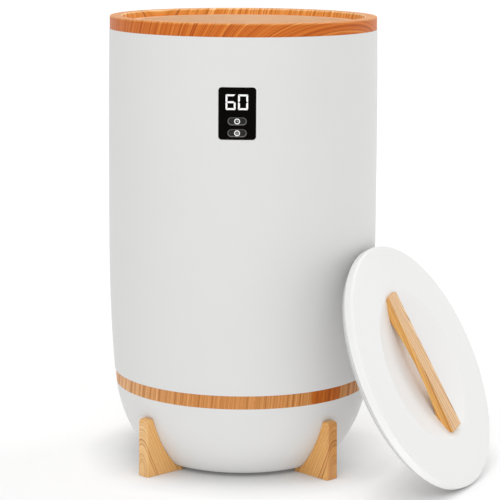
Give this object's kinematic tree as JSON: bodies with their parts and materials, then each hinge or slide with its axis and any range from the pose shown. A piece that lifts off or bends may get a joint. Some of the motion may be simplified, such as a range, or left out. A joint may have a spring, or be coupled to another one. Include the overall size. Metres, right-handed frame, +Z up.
{
  "type": "towel warmer bucket",
  "caption": "Round towel warmer bucket with wooden trim and feet, a heated chamber, a display panel with push buttons, and a dished lid with a bar handle leaning on its side.",
  "frame": {"origin": "centre of the flat underside of the base, on the bucket's axis; the soles of the feet are 4 mm lower", "axes": "+Z up out of the mouth, -Y is the front with the control panel, +X is right seen from the front"},
  "size_m": [0.4317, 0.3719, 0.5],
  "materials": {
    "shell_white": "smooth satin moulding",
    "ring_wood": "warm orange-brown grain, satin lacquer",
    "foot_wood": "light honey grain, satin lacquer",
    "handle_wood": "light honey grain, satin lacquer",
    "chamber_aluminium": "satin spun aluminium",
    "heater_foil": "thin heater sheet with a raised track",
    "insulation_felt": "pale needled felt",
    "black_gloss": "polished black acrylic",
    "button_black": "semi-gloss black moulding",
    "black_plastic": "fine-textured black moulding",
    "inner_white": "plain inner moulding",
    "board_green": "circuit board with solder resist",
    "part_black": "moulded electronic parts",
    "screw_steel": "zinc-plated steel",
    "sensor_metal": "plain metal caps",
    "lead_red": "silicone wire sleeve",
    "lead_brown": "wire sleeve",
    "ribbon_grey": "flat cable",
    "seal_silicone": "translucent silicone"
  },
  "bodies": {
    "bucket": {"outer_shell": "shell_white", "rim_ring": "ring_wood", "chamber_liner": "chamber_aluminium", "side_heater": "heater_foil", "bottom_heater": "heater_foil", "insulation_sleeve": "insulation_felt", "insulation_disc": "insulation_felt", "thermostat": "sensor_metal", "thermal_fuse": "sensor_metal", "temperature_sensor": "sensor_metal", "inner_deck": "inner_white", "deck_screws": "screw_steel", "base_band": "ring_wood", "base_bowl": "shell_white", "bottom_cover": "shell_white", "cover_screws": "screw_steel", "foot_front_left": "foot_wood", "foot_front_right": "foot_wood", "foot_rear_right": "foot_wood", "foot_rear_left": "foot_wood", "foot_screws": "screw_steel", "control_board": "board_green", "board_parts": "part_black", "board_screws": "screw_steel", "cord_gland": "black_plastic", "gland_nut": "black_plastic", "heater_leads": "lead_red", "supply_leads": "lead_brown", "display_cable": "ribbon_grey", "panel_window": "black_gloss", "panel_carrier": "black_plastic", "display_board": "board_green", "display_module": "part_black", "button_switches": "part_black", "display_screws": "screw_steel"},
    "lid": {"lid_shell": "shell_white", "lid_liner": "shell_white", "lid_insulation": "insulation_felt", "lid_seal": "seal_silicone", "lid_handle": "handle_wood", "handle_screws": "screw_steel", "lid_screws": "screw_steel"},
    "timer_key": {"timer_button": "button_black"},
    "power_key": {"power_button": "button_black"}
  },
  "joints": [
    {"name": "lid_lift", "type": "slide", "parent": "bucket", "child": "lid", "axis": [0.8146, -0.3798, 0.4384], "range_m": [0, 0.3]},
    {"name": "timer_button_press", "type": "slide", "parent": "bucket", "child": "timer_key", "axis": [0, 1, 0], "range_m": [0, 0.0008], "stiffness_N_per_m": 400},
    {"name": "power_button_press", "type": "slide", "parent": "bucket", "child": "power_key", "axis": [0, 1, 0], "range_m": [0, 0.0008], "stiffness_N_per_m": 400}
  ]
}
